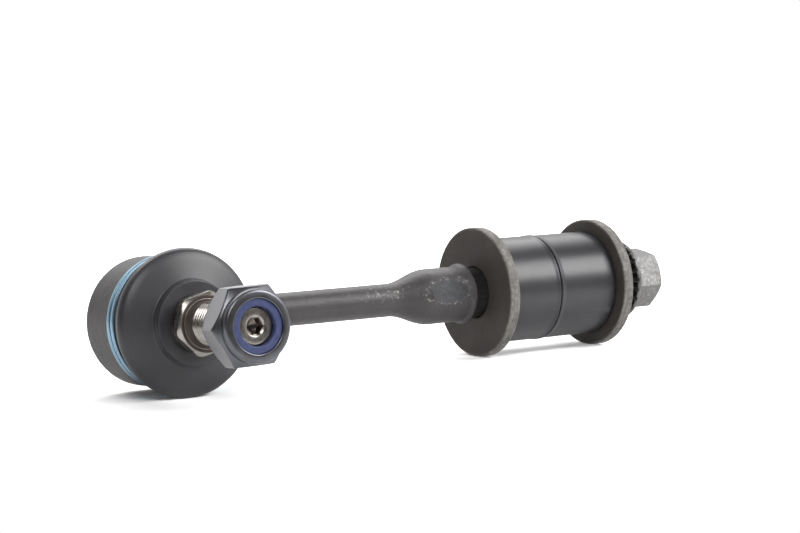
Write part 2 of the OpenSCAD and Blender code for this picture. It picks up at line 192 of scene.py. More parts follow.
def softened(corners, reach, n=5):
    """Closed profile whose corners are rounded: each becomes a quadratic curve from reach before it to reach after it,
    with one more point beyond each end that keeps the shading of the flat faces flat."""
    p = np.array(corners, float)
    back, ahead = np.roll(p, 1, 0) - p, np.roll(p, -1, 0) - p
    back_l, ahead_l = np.linalg.norm(back, axis=1), np.linalg.norm(ahead, axis=1)
    cut = np.minimum(np.broadcast_to(reach, len(p)), 0.28 * np.minimum(back_l, ahead_l))[:, None]
    a, b = p + back / back_l[:, None] * cut, p + ahead / ahead_l[:, None] * cut
    u = np.linspace(0, 1, n)[None, :, None]
    curve = (1 - u) ** 2 * a[:, None] + 2 * u * (1 - u) * p[:, None] + u ** 2 * b[:, None]
    return np.concatenate([(1.7 * a - 0.7 * p)[:, None], curve, (1.7 * b - 0.7 * p)[:, None]], 1).reshape(-1, 2)


# Both turns are one wire, which steps over to the second one in the middle of its length. Its angles are in degrees.
wire_w, wire_t, wire_r, wire_at, wire_rise = 1.7, 1.2, 17.98, 1.1, 2.3
wire_from, wire_turned, step_from, step_length = 20, 712, 0.42, 0.16
wire_u = np.linspace(0, 1, 420)[:, None]
step = np.clip((wire_u - step_from) / step_length, 0, 1)
wire_s = wire_at + wire_rise * step * step * (3 - 2 * step)
section = softened([(0, 0), (wire_t, 0), (wire_t, wire_w), (0, wire_w)], 0.42)
wire_turn = np.radians(wire_from + wire_turned * wire_u)
clip_grid = on_stud(wire_r + section[:, 0], wire_turn, wire_s + section[:, 1])

# Lacquered spring wire: light steel blue with a satin shine and drawn lines along the wire, 0.3 mm apart and about
# 17 mm long.
blue_wire, tree, place = start_finish("blue_lacquered_spring_wire")
drawn = node(tree, "Mapping", {"Vector": place, "Scale": (60, 1000 / 0.3, 60)})
lines = node(tree, "TexNoise", {"Vector": drawn.outputs[0], "Scale": 1.0, "Detail": 3.0})
colour = node(tree, "Mix", {"Factor": lines.outputs["Fac"], 6: linear("#567f99"), 7: linear("#a3c0d3")},
              data_type="RGBA")
gloss = node(tree, "MapRange", {"Value": lines.outputs["Fac"], "To Min": 0.2, "To Max": 0.36})
shader = node(tree, "BsdfPrincipled", {"Base Color": colour.outputs[2], "Roughness": gloss.outputs[0],
                                       "Metallic": 0.85})
end_finish(tree, shader)
clip_ring = shell("clip_ring", clip_grid, blue_wire, ring=False)
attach(clip_ring, "link")
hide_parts("boot_clip_ring")


# Dust boot
# One moulding of black rubber: a cuff under the clip ring, a wide rim with its parting line, a saucer front and a flat
# neck round the stud. It is made as three pieces, body, front and neck, and the neck alone is attached to the stud's
# neck.
def bezier(p, q, r, s, u):
    """Cubic curve from p to s with the handles q and r: the four points are weighted by the terms of ((1 - u) + u)
    cubed, for each parameter u."""
    u = np.asarray(u, float)[:, None]
    p, q, r, s = (np.array(x, float) for x in (p, q, r, s))
    return (1 - u) ** 3 * p + 3 * (1 - u) ** 2 * u * q + 3 * (1 - u) * u ** 2 * r + u ** 3 * s


def on_cone(r):
    """Point of the boot's saucer at radius r: it rises by 0.289 mm for each millimetre towards the stud."""
    return r, 14.125 + 0.289 * (17.5 - r)


def turned(name, on_axis, profile, finish):
    """Piece with one closed profile of (radius, distance) points all round the axis that on_axis places it on."""
    return shell(name, on_axis(profile[:, :1], round_turn, profile[:, 1:]), finish, ring=True)


round_turn = np.linspace(0, 2 * np.pi, 192, endpoint=False)
rim_r, cuff_bore, groove_r, neck_r, neck_bore, wall = 20.75, 16.4, 17.9, 12.0, 6.95, 1.5
neck_start, neck_face = 16.6, 18
# The body ends and the front begins at this share of the shoulder's curve.
fold = 0.6
shoulder = (rim_r, 11.2), (rim_r, 12.9), on_cone(19.3), on_cone(17.0)
outer_front = bezier(*shoulder, np.linspace(0, fold, 20))
inner_front = np.concatenate([
    bezier(*shoulder, np.linspace(fold, 1, 12)),
    [on_cone(r) for r in np.arange(16.5, 12.9, -0.5)],
    bezier(on_cone(12.6), on_cone(12.2), (neck_r, 15.8), (neck_r, 16.3), np.linspace(0, 1, 12)),
    [(neck_r, neck_start)]])
# Each softened corner is seven points. The cuff and the neck leave out those of their first and last corner, which
# only give the way that the profile comes from and goes to.
cuff = softened([(cuff_bore, 3), (cuff_bore, 0.31), (18.6, 0.31), (18.6, 0.91), (groove_r, 0.91), (groove_r, 5.4),
                 (18.7, 5.6), (19.4, 7.6)], 0.12)[7:49]
parting_line = [(18.8, 5.9), (19.1, 6.8), (19.38, 7.5), (19.47, 7.68), (19.48, 7.76), (19.44, 7.84), (19.2, 7.97),
                (19.14, 8.05), (19.2, 8.13), (19.5, 8.22), (19.62, 8.28), (19.7, 8.38)]
body_profile = np.concatenate([
    cuff, parting_line, bezier((19.85, 8.8), (20.2, 9.5), (20.7, 10.2), (rim_r, 11), np.linspace(0, 1, 10)),
    outer_front, (outer_front - (wall, 0))[::-1],
    bezier((19.1, 10.6), (18.6, 9.2), (17.5, 8), (17.3, 6.5), np.linspace(0, 1, 10)),
    [(17.3, 5.6), (cuff_bore, 5.25)]])
front_profile = np.concatenate([inner_front, (inner_front - (wall, 0))[::-1]])
neck_corners = [(11.74, 17), (11.7, neck_face), (8.1, neck_face), (neck_bore, 17.4), (neck_bore, 16.95), (9.55, 16.95),
                (9.55, 15.45), (neck_bore, 15.45), (neck_bore, 14.9), (7.6, 14.6), (9.6, 14.9),
                (neck_r - wall, neck_start)]
neck_profile = np.concatenate([
    [(neck_r - wall, neck_start), (neck_r, neck_start), (11.85, 16.75), (11.74, 17)],
    softened(neck_corners, (0, 0.5, 0.2, 0.1, 0, 0, 0, 0, 0.2, 0.2, 0.2, 0))[7:-7]])

# Moulded black rubber: dark grey and half matt, a faint grey bloom in broad clouds, a fine even grain from the mould,
# and the broad sheen of a release film.
boot_rubber, tree, place = start_finish("moulded_boot_rubber")
bloom = node(tree, "TexNoise", {"Vector": place, "Scale": 1000 / 14, "Detail": 5.0, "Roughness": 0.6})
grain = node(tree, "TexNoise", {"Vector": place, "Scale": 1000 / 0.35, "Detail": 2.0})
colour = node(tree, "Mix", {"Factor": bloom.outputs["Fac"], 6: linear("#2b2a2d"), 7: linear("#3d3c40")},
              data_type="RGBA")
dull = node(tree, "MapRange", {"Value": bloom.outputs["Fac"], "To Min": 0.36, "To Max": 0.48})
bump = node(tree, "Bump", {"Height": grain.outputs["Fac"], "Strength": 0.12, "Distance": 0.0001})
shader = node(tree, "BsdfPrincipled", {"Base Color": colour.outputs[2], "Roughness": dull.outputs[0],
                                       "Normal": bump.outputs[0], "IOR": 1.55, "Coat Weight": 0.15,
                                       "Coat Roughness": 0.32})
end_finish(tree, shader)
boot_body = turned("boot_body", on_stud, body_profile, boot_rubber)
boot_front = turned("boot_front", on_stud, front_profile, boot_rubber)
boot_neck = turned("boot_neck", on_stud, neck_profile, boot_rubber)
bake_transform(boot_body)
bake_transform(boot_front)
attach(boot_neck, "neck")
for piece in (boot_body, boot_front, boot_neck):
    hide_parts("dust_boot")

# Neck ring
# A plain steel ring in the boot's neck, which keeps the rubber tight round the stud. It is turned, left bare and
# hidden between the rubber and the stud.

# Bare turned steel: mid grey, with fine tool lines.
bare_steel, tree, place = start_finish("bare_turned_steel")
lines = node(tree, "TexNoise", {"Vector": place, "Scale": 1000 / 0.6, "Detail": 2.0})
colour = node(tree, "Mix", {"Factor": lines.outputs["Fac"], 6: linear("#8d8b88"), 7: linear("#a9a7a3")},
              data_type="RGBA")
gloss = node(tree, "MapRange", {"Value": lines.outputs["Fac"], "To Min": 0.3, "To Max": 0.5})
shader = node(tree, "BsdfPrincipled", {"Base Color": colour.outputs[2], "Roughness": gloss.outputs[0], "Metallic": 1.0})
end_finish(tree, shader)
wear("boot_neck_ring", bare_steel)


# Ball stud
# Turned and plated steel in one piece: the ball, a waist, a plain shank, a hexagon collar to hold it by, and a thread
# of 1.25 mm pitch with a key socket in its end.
def hexagon(turn, af, corner):
    """Radius of a hexagon of width af across its flats, with a corner at that many degrees: half of af over the cosine
    of the angle to the nearest flat."""
    return af / 2 / np.cos(np.mod(turn - np.radians(corner), np.pi / 3) - np.pi / 6)


def lesser(a, b, width):
    """The lesser of a and b with the edge between them rounded over width: their mean less half of the root of their
    difference squared plus width squared."""
    return (a + b - np.sqrt((a - b) ** 2 + width ** 2)) / 2


def thread(turn, s, crest, depth):
    """Radius of a right-hand thread: the crest less depth times (1 - wave). The wave is a triangle that goes round once
    in each pitch, made 1.4 times as high and cut off at 1, so the root is sharp and the crest is flat."""
    wave = np.abs(2 * np.mod(s / pitch - turn / (2 * np.pi), 1) - 1)
    return crest - depth * (1 - np.clip(1.4 * wave, 0, 1))


def columns(*pairs):
    """Columns of radius and distance from (radius, distance) pairs, for profiles that are the same all round."""
    p = np.array(pairs, float)
    return p[:, :1], p[:, 1:]


def stations(start, middle_start, middle_end, end, start_n, middle_n, end_n):
    """Column of distances that lie close together at both ends, where an edge is rounded, and apart in the middle."""
    return np.concatenate([np.linspace(start, middle_start, start_n),
                           np.linspace(middle_start, middle_end, middle_n)[1:-1],
                           np.linspace(middle_end, end, end_n)])[:, None]


pitch, thread_r = 1.25, 6.0
ball_r, shank_r, socket_af = 10, 6.9, 4.2
thread_from, lead_from, stud_end = 26.5, 49.6, 50.7
# The collar has a corner at 15 degrees, and its corners are turned down to 9.05 mm from the axis.
collar_back, collar_face, collar_af, collar_corner, collar_limit = 20.1, 24.1, 16.5, 15, 9.05
turn = np.linspace(0, 2 * np.pi, 180, endpoint=False)[None]
flat = np.ones_like(turn)
# The ball runs from its back to 58 degrees in front of its middle, where the waist takes over.
dome = np.radians(np.linspace(-88, 58, 40))[:, None]
waist = bezier((5.3, 10.6), (5.3, 12.4), (shank_r, 12.2), (shank_r, 14.4), np.linspace(0, 1, 14))
plain_r, plain_s = columns((shank_r, 15), (shank_r, 20.0), (7.1, collar_back))
collar_s = stations(collar_back, 21.3, 22.9, collar_face, 22, 5, 22)
collar_chamfer = 7.75 + 1.3 * np.minimum(collar_s - collar_back, collar_face - collar_s)
collar_r = lesser(hexagon(turn, collar_af, collar_corner), np.minimum(collar_chamfer, collar_limit), 0.12)
relief_r, relief_s = columns(
    (7.7, collar_face), (7.1, collar_face), (7.0, 24.06), (6.95, 23.98), (6.85, 23.98), (6.75, 24.05), (6.65, 24.2),
    (6.3, 24.6), (6.1, 25.0), (6.0, 25.5), (5.95, 25.9), (5.95, 26.1), (5.6, 26.35))
ridge_s = np.arange(thread_from, stud_end - 0.1, pitch / 10)[:, None]
ridge_r = np.minimum(thread(turn, ridge_s, thread_r, 0.78), thread_r - 1.09 * np.maximum(ridge_s - lead_from, 0))
mouth_r, mouth_s = columns((4.78, 50.68), (4.7, stud_end), (2.85, stud_end), (2.7, 50.66), (2.5, 50.5))
key_s = np.array([50.3, 50.1, 47.6, 47.4])[:, None]
key_r = hexagon(turn, socket_af, 0) * np.array([1, 1, 1, 0.99])[:, None]
drill_r, drill_s = columns((2.0, 47.35), (1.85, 47.3), (0.2, 46.4))
stud_r = np.concatenate([ball_r * np.cos(dome) * flat, waist[:, :1] * flat, plain_r * flat, collar_r,
                         relief_r * flat, ridge_r, mouth_r * flat, key_r, drill_r * flat])
stud_s = np.concatenate([ball_r * np.sin(dome), waist[:, 1:], plain_s, collar_s, relief_s, ridge_s, mouth_s, key_s,
                         drill_s])

# Bright zinc plating on turned steel: silvery with a warm cast, sharp reflections and light stains in the plating. The
# corner before the thread and the key socket are painted dark brown, duller and less metallic: a painted shade for
# these recesses and for the dark that the corner reflects.
plated_steel, tree, place = start_finish("bright_zinc_plating")
stain = node(tree, "TexNoise", {"Vector": place, "Scale": 1000 / 3, "Detail": 4.0, "Roughness": 0.6})
plating = node(tree, "Mix", {"Factor": stain.outputs["Fac"], 6: linear("#8d8882"), 7: linear("#c6c2bc")},
               data_type="RGBA")
gloss = node(tree, "MapRange", {"Value": stain.outputs["Fac"], "To Min": 0.2, "To Max": 0.36})
across = node(tree, "Mapping", {"Vector": place, "Scale": (1, 0, 1)})
from_axis = node(tree, "VectorMath", {0: across.outputs[0]}, operation="LENGTH").outputs["Value"]
# Painted shade: the key socket, within 2.6 mm of the axis, is painted dark brown.
socket_shade = node(tree, "MapRange", {"Value": from_axis, "From Min": 0.0022, "From Max": 0.0026, "To Min": 0.7,
                                 "To Max": 0.0})
along = node(tree, "SeparateXYZ", {"Vector": place}).outputs["Y"]
# Painted shade: from the collar's face to the thread the plating is painted dark brown, duller and less metallic.
past_face = node(tree, "MapRange", {"Value": along, "From Min": -0.02405, "From Max": -0.02395, "To Min": 1.0,
                                    "To Max": 0.0})
before_thread = node(tree, "MapRange", {"Value": along, "From Min": -0.0268, "From Max": -0.0262, "To Max": 0.9})
painted_corner_shade = node(tree, "Math", {0: past_face.outputs[0], 1: before_thread.outputs[0]}, operation="MULTIPLY")
corner_shaded = node(tree, "Mix", {"Factor": painted_corner_shade.outputs[0], 6: plating.outputs[2], 7: linear("#35281f")}, data_type="RGBA")
colour = node(tree, "Mix", {"Factor": socket_shade.outputs[0], 6: corner_shaded.outputs[2], 7: linear("#54463b")}, data_type="RGBA")
dull = node(tree, "Math", {0: painted_corner_shade.outputs[0], 1: 0.25, 2: gloss.outputs[0]}, operation="MULTIPLY_ADD")
metal = node(tree, "Math", {0: painted_corner_shade.outputs[0], 1: -0.7, 2: 1.0}, operation="MULTIPLY_ADD")
shader = node(tree, "BsdfPrincipled", {"Base Color": colour.outputs[2], "Roughness": dull.outputs[0],
                                       "Metallic": metal.outputs[0]})
end_finish(tree, shader)
ball_stud = shell("plated_ball_stud", on_stud(stud_r, turn, stud_s), plated_steel, ring=False)
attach(ball_stud, "stud")
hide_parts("ball_stud")

# Nylon ring
# A plain moulded ring of blue nylon, held in the nut's collar. Its bore is smaller than the thread, which presses
# into it, so the nut grips and stays locked.
nylon_bore, nylon_r, nylon_back, nylon_face = 5.25, 7.65, 50.45, 52.1
nylon_profile = softened([(nylon_bore, nylon_back), (nylon_r, nylon_back), (nylon_r, 51.8), (7.15, nylon_face),
                          (5.5, nylon_face), (nylon_bore, 51.85)], 0.2)

# Moulded nylon: blue with a violet cast, waxy, with a scraped face.
nylon, tree, place = start_finish("moulded_blue_nylon")
scrape = node(tree, "TexNoise", {"Vector": place, "Scale": 1000 / 1.5, "Detail": 3.0})
colour = node(tree, "Mix", {"Factor": scrape.outputs["Fac"], 6: linear("#2f3862"), 7: linear("#48517b")},
              data_type="RGBA")
gloss = node(tree, "MapRange", {"Value": scrape.outputs["Fac"], "To Min": 0.36, "To Max": 0.55})
shader = node(tree, "BsdfPrincipled", {"Base Color": colour.outputs[2], "Roughness": gloss.outputs[0], "IOR": 1.53})
end_finish(tree, shader)
nylon_ring = turned("nylon_ring", on_stud, nylon_profile, nylon)
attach(nylon_ring, "nut_ring")
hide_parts("nylon_insert")

# Lock nut
# A forged steel hexagon that ends in a cone, with a broad turned collar in front of it. The collar's lip is rolled
# over the nylon ring.
nut_back, nut_front, nut_af, nut_corner, nut_collar_r = 41.6, 50.1, 21, 1.5, 9.85
cone_foot, cone_slope = 9.95, 1.5
nut_s = stations(nut_back, nut_back + 2.5, nut_back + 6.6, nut_front, 36, 6, 40)
nut_chamfer = np.minimum(10.2 + 0.95 * (nut_s - nut_back), cone_foot + cone_slope * (nut_front - nut_s))
nut_r = lesser(hexagon(turn, nut_af, nut_corner), nut_chamfer, 0.22)
nut_collar = np.concatenate([
    bezier((9.88, 50.15), (nut_collar_r, 50.3), (nut_collar_r, 50.8), (nut_collar_r, 51.3), np.linspace(0, 1, 6)),
    bezier((nut_collar_r, 51.4), (nut_collar_r, 52.2), (9.4, 52.5), (8.8, 52.56), np.linspace(0, 1, 14)),
    bezier((8.7, 52.57), (8.3, 52.61), (7.75, 52.68), (7.45, 52.58), np.linspace(0, 1, 8))])
inside_r, inside_s = columns(
    (7.36, 52.5), (7.36, 52.2), (7.7, 51.95), (7.7, 50.4), (6.1, 50.4), (6.03, 50.3), (6.03, 42.4), (6.1, 42.32),
    (6.75, 41.65), (6.9, nut_back), (9.85, nut_back))
nut_rows = np.concatenate([nut_r, nut_collar[:, :1] * flat, inside_r * flat])
nut_stations = np.concatenate([nut_s, nut_collar[:, 1:], inside_s])

# Dark zinc flake on a forged nut: dark grey and satin, clouded where the flakes lie thicker, and lighter on the flats,
# which are all that lies behind the cone. The paler flats are partly the rubbing of a spanner and partly a painted
# reflection of the bright room at the nut's sides.
dark_zinc, tree, place = start_finish("dark_zinc_flake")
cloud = node(tree, "TexNoise", {"Vector": place, "Scale": 1000 / 4, "Detail": 4.0})
flake = node(tree, "Mix", {"Factor": cloud.outputs["Fac"], 6: linear("#5c5d61"), 7: linear("#78797e")},
             data_type="RGBA")
across = node(tree, "Mapping", {"Vector": place, "Scale": (1, 0, 1)})
from_axis = node(tree, "VectorMath", {0: across.outputs[0]}, operation="LENGTH").outputs["Value"]
along = node(tree, "SeparateXYZ", {"Vector": place}).outputs["Y"]
# The radius over the cone's slope plus the distance is the same all over the cone, and less behind it.
slant = node(tree, "Math", {0: from_axis, 1: 1 / cone_slope}, operation="MULTIPLY")
to_cone = node(tree, "Math", {0: slant.outputs[0], 1: along}, operation="SUBTRACT")
# Partly painted reflection: the flats behind the cone are mixed towards a pale grey, for a spanner's rubbing and for
# the bright room they reflect.
rubbed = node(tree, "MapRange", {"Value": to_cone.outputs[0], "From Min": 0.05633, "From Max": 0.05658, "To Min": 0.8,
                                 "To Max": 0.0})
colour = node(tree, "Mix", {"Factor": rubbed.outputs[0], 6: flake.outputs[2], 7: linear("#b4b4b7")}, data_type="RGBA")
gloss = node(tree, "MapRange", {"Value": cloud.outputs["Fac"], "To Min": 0.28, "To Max": 0.38})
shader = node(tree, "BsdfPrincipled", {"Base Color": colour.outputs[2], "Roughness": gloss.outputs[0], "Metallic": 1.0})
end_finish(tree, shader)
lock_nut = shell("hexagon_lock_nut", on_stud(nut_rows, turn, nut_stations), dark_zinc, ring=True)
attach(lock_nut, "nut")
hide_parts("lock_nut")


# Washers
# Two thick pressed steel washers that hold the bushes between them. They are phosphated and oiled, and the rims keep
# the lines of the blanking tool.
def on_rod(r, turn, s):
    """Points at radius r, angle turn and distance s along the rod's axis, which runs along +X, rod_y behind the
    ball."""
    r, turn, s = np.broadcast_arrays(r, turn, s)
    return np.stack([s, rod_y + r * np.cos(turn), r * np.sin(turn)], -1) / 1000


rod_y = 6
washer_bore, washer_r, washer_t, inner_washer_at, outer_washer_at = 8.05, 20, 3.4, 109.1, 153.1
washer_profile = softened([(washer_bore, 0), (washer_r, 0), (washer_r, washer_t), (washer_bore, washer_t)],
                          (0.2, 0.35, 0.35, 0.2))

# Phosphated steel: brown-grey and matt, mottled where the oil dried, with bright rubbed lines and grit round the rim.
# The lines are 1.1 mm apart and about 6 mm long.
phosphate, tree, place = start_finish("oiled_phosphate")
mottle = node(tree, "TexNoise", {"Vector": place, "Scale": 1000 / 7, "Detail": 5.0, "Roughness": 0.62})
crystal = node(tree, "TexNoise", {"Vector": place, "Scale": 1000 / 0.3, "Detail": 2.0})
grit = node(tree, "TexNoise", {"Vector": place, "Scale": 1000 / 1.1, "Detail": 4.0, "Roughness": 0.7})
blanked = node(tree, "Mapping", {"Vector": place, "Scale": (1000 / 1.1, 160, 160)})
lines = node(tree, "TexNoise", {"Vector": blanked.outputs[0], "Scale": 1.0, "Detail": 3.0})
base = node(tree, "Mix", {"Factor": mottle.outputs["Fac"], 6: linear("#34302d"), 7: linear("#504a46")},
            data_type="RGBA")
middle = node(tree, "Mapping", {"Vector": place, "Location": (0, -rod_y / 1000, 0), "Scale": (0, 1, 1)})
from_axis = node(tree, "VectorMath", {0: middle.outputs[0]}, operation="LENGTH").outputs["Value"]
on_rim = node(tree, "MapRange", {"Value": from_axis, "From Min": 0.0192, "From Max": 0.0198})
rubbed = node(tree, "MapRange", {"Value": lines.outputs["Fac"], "From Min": 0.3, "From Max": 0.75, "To Min": 0.2,
                                 "To Max": 0.6})
speck = node(tree, "MapRange", {"Value": grit.outputs["Fac"], "From Min": 0.4, "From Max": 0.72, "To Min": 0.6,
                                "To Max": 1.4})
worn = node(tree, "Math", {0: rubbed.outputs[0], 1: speck.outputs[0]}, operation="MULTIPLY")
bright = node(tree, "Math", {0: on_rim.outputs[0], 1: worn.outputs[0]}, operation="MULTIPLY")
colour = node(tree, "Mix", {"Factor": bright.outputs[0], 6: base.outputs[2], 7: linear("#b2afaa")}, data_type="RGBA")
dull = node(tree, "MapRange", {"Value": crystal.outputs["Fac"], "To Min": 0.55, "To Max": 0.75})
bump = node(tree, "Bump", {"Height": crystal.outputs["Fac"], "Strength": 0.12, "Distance": 0.0001})
shader = node(tree, "BsdfPrincipled", {"Base Color": colour.outputs[2], "Roughness": dull.outputs[0], "Metallic": 0.1,
                                       "Normal": bump.outputs[0]})
end_finish(tree, shader)
for name, body, at in (("washer_inner", "inner_washer", inner_washer_at),
                       ("washer_outer", "outer_washer", outer_washer_at)):
    washer = turned("thick_" + name, on_rod, washer_profile + (0, at), phosphate)
    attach(washer, body)
    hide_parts(name)

# Bushes
# Two moulded rubber barrels, face to face, which grip the bar between them. Each has a chamfer at its washer and a
# thin lip of flash at the seam, and the outer one has a nick of flash at its chamfer.
bush_r, bush_bore = 16.25, 7.83
bush_turn = np.linspace(0, 2 * np.pi, 240, endpoint=False)
nick_turn, nick_at = np.radians(212), 1.6

# Moulded rubber, polished by its mould: near black, glossier than the boot, with faint drawn streaks along the barrel,
# 3 mm apart and about 33 mm long.
bush_rubber, tree, place = start_finish("polished_bush_rubber")
drawn = node(tree, "Mapping", {"Vector": place, "Scale": (30, 1000 / 3, 1000 / 3)})
streak = node(tree, "TexNoise", {"Vector": drawn.outputs[0], "Scale": 1.0, "Detail": 3.0})
bloom = node(tree, "TexNoise", {"Vector": place, "Scale": 1000 / 10, "Detail": 4.0})
colour = node(tree, "Mix", {"Factor": bloom.outputs["Fac"], 6: linear("#2a2a2d"), 7: linear("#404044")},
              data_type="RGBA")
gloss = node(tree, "MapRange", {"Value": streak.outputs["Fac"], "To Min": 0.29, "To Max": 0.36})
shader = node(tree, "BsdfPrincipled", {"Base Color": colour.outputs[2], "Roughness": gloss.outputs[0], "IOR": 1.52})
end_finish(tree, shader)
for name, body, length, at, way, nick in (
        ("bush_inner", "inner_bush", 18.6, inner_washer_at + washer_t, 1, 0.0),
        ("bush_outer", "outer_bush", 22.0, outer_washer_at, -1, 0.35)):
    barrel = softened([
        (bush_bore, 0.5), (bush_bore + 0.5, 0), (bush_r - 1, 0), (bush_r - 0.2, 0.8), (bush_r, 1.5),
        (bush_r, length - 1.6), (bush_r + 0.28, length - 0.28), (bush_r - 0.8, length), (bush_bore + 0.5, length),
        (bush_bore, length - 0.5)], 0.3)
    barrel_r, barrel_s = barrel[:, :1], barrel[:, 1:]
    # The nick is a bell curve round one angle and one distance from the washer, on the outside alone.
    away = ((bush_turn - nick_turn) / 0.06) ** 2 + ((barrel_s - nick_at) / 0.9) ** 2
    flash = nick * np.exp(-away) * (barrel_r > 15)
    bush = shell("rubber_" + name, on_rod(barrel_r + flash, bush_turn, at + way * barrel_s), bush_rubber, ring=True)
    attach(bush, body)
    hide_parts(name)

# Spacer sleeve
# A drawn steel tube on the bolt, clamped between the rod's end and the flange. The washers and the bushes sit on it,
# and its length sets how far the bushes are squeezed.
sleeve_bore, sleeve_r, sleeve_from, sleeve_to = 6.25, 7.75, 104.75, 164.15
sleeve_profile = softened([(sleeve_bore, sleeve_from), (sleeve_r, sleeve_from), (sleeve_r, sleeve_to),
                           (sleeve_bore, sleeve_to)], 0.4)

# Blackened drawn tube: nearly black, half matt, with draw lines along it, 0.8 mm apart and 25 mm long.
dark_sleeve, tree, place = start_finish("blackened_drawn_tube")
drawn = node(tree, "Mapping", {"Vector": place, "Scale": (40, 1000 / 0.8, 1000 / 0.8)})
lines = node(tree, "TexNoise", {"Vector": drawn.outputs[0], "Scale": 1.0, "Detail": 3.0})
colour = node(tree, "Mix", {"Factor": lines.outputs["Fac"], 6: linear("#262425"), 7: linear("#3d3a3a")},
              data_type="RGBA")
gloss = node(tree, "MapRange", {"Value": lines.outputs["Fac"], "To Min": 0.38, "To Max": 0.55})
shader = node(tree, "BsdfPrincipled", {"Base Color": colour.outputs[2], "Roughness": gloss.outputs[0], "Metallic": 0.4})
end_finish(tree, shader)
sleeve = turned("drawn_sleeve", on_rod, sleeve_profile, dark_sleeve)
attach(sleeve, "sleeve")
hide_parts("spacer_sleeve")

# Flange bolt
# A cold-headed bolt with a conical flange, teeth below the flange that bite, and a hexagon head. It passes through
# the sleeve and screws into the rod's thick end.
bolt_tip, thread_end, flange_face, flange_r, teeth = 94.2, 112, 164.2, 12.75, 24
cone_from, head_top, head_af, head_corner = 165.85, 177.7, 17, 14
tip_r, tip_s = columns((4.5, bolt_tip), (4.6, 94.22))
bolt_s = np.arange(94.3, thread_end, pitch / 10)[:, None]
fade = np.clip((thread_end - bolt_s) / 2, 0, 1)
bolt_r = np.minimum(thread(turn, bolt_s, thread_r, 0.74 * fade), 4.6 + (bolt_s - bolt_tip))
under_r, under_s = columns(
    (6, 112.2), (6, 164.0), (6.1, 164.15), (6.4, flange_face), (8.9, flange_face), (9.2, flange_face),
    (12.1, flange_face), (12.5, 164.35), (12.7, 164.7))
notch = np.clip(2.5 * np.cos(teeth * turn) - 0.4, 0, 1)
notch_depth = np.array([0, 0, 0, 0, 0, 0.6, 0.6, 0.55, 0.3])[:, None]
edge_r, edge_s = columns((flange_r, 164.95), (flange_r, 165.55), (12.68, 165.78))
head_s = stations(cone_from, 167.7, 176, head_top, 30, 8, 30)
head_hexagon = lesser(hexagon(turn, head_af, head_corner), 8.05 + 1.732 * (head_top - head_s), 0.25)
head_r = -lesser(-head_hexagon, -(12.6 - 2.85 * (head_s - cone_from)), 0.3)
top_r, top_s = columns((7.8, head_top), (6.95, head_top), (6.7, 177.62), (5.75, 177.05), (5.5, 177.0), (0.4, 177.0))
bolt_rows = np.concatenate([tip_r * flat, bolt_r, under_r * flat, edge_r * flat, head_r, top_r * flat])
bolt_stations = np.concatenate([tip_s * flat, bolt_s * flat, under_s + notch_depth * notch, edge_s * flat,
                                head_s * flat, top_s * flat])

# Grey phosphate on a cold-headed bolt: grey with a warm cast, matt and rubbed to bright specks. Below the flange it is
# painted near black, a painted shade for the shadow under the flange, on its teeth and along the shank.
bolt_finish, tree, place = start_finish("grey_phosphate_on_bolt")
mottle = node(tree, "TexNoise", {"Vector": place, "Scale": 1000 / 3.5, "Detail": 5.0, "Roughness": 0.65})
crystal = node(tree, "TexNoise", {"Vector": place, "Scale": 1000 / 0.35, "Detail": 2.0})
rub = node(tree, "TexNoise", {"Vector": place, "Scale": 1000 / 0.9, "Detail": 5.0, "Roughness": 0.75})
base = node(tree, "Mix", {"Factor": mottle.outputs["Fac"], 6: linear("#464544"), 7: linear("#828180")},
            data_type="RGBA")
bright = node(tree, "MapRange", {"Value": rub.outputs["Fac"], "From Min": 0.48, "From Max": 0.95})
rubbed = node(tree, "Mix", {"Factor": bright.outputs[0], 6: base.outputs[2], 7: linear("#b4b2b0")}, data_type="RGBA")
# Painted shade: everything below the flange is painted near black, where the flange casts its shadow.
along = node(tree, "SeparateXYZ", {"Vector": place}).outputs["X"]
flange_shade = node(tree, "MapRange", {"Value": along, "From Min": 0.16435, "From Max": 0.16465, "To Min": 0.9,
                                "To Max": 0.0})
colour = node(tree, "Mix", {"Factor": flange_shade.outputs[0], 6: rubbed.outputs[2], 7: linear("#1c1b1a")}, data_type="RGBA")
dull = node(tree, "MapRange", {"Value": crystal.outputs["Fac"], "To Min": 0.34, "To Max": 0.52})
bump = node(tree, "Bump", {"Height": crystal.outputs["Fac"], "Strength": 0.3, "Distance": 0.0002})
shader = node(tree, "BsdfPrincipled", {"Base Color": colour.outputs[2], "Roughness": dull.outputs[0], "Metallic": 0.75,
                                       "Normal": bump.outputs[0]})
end_finish(tree, shader)
bolt = shell("toothed_flange_bolt", on_rod(bolt_rows, turn, bolt_stations), bolt_finish, ring=False)
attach(bolt, "bolt")
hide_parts("flange_bolt")


# Table
# A white sheet below the washers and the boot's rim, which is where the link lies, so it leans a little. To the camera
# and in reflections it also glows, fully far off and hardly at all near the link, which keeps the shadow there.
def on_sheet(x, y):
    """Point of the sheet at x and y: its height below the rod, plus its lean times the way from there to the back."""
    return x, y, sheet_z + sheet_lean * (y - rod_y / 1000)


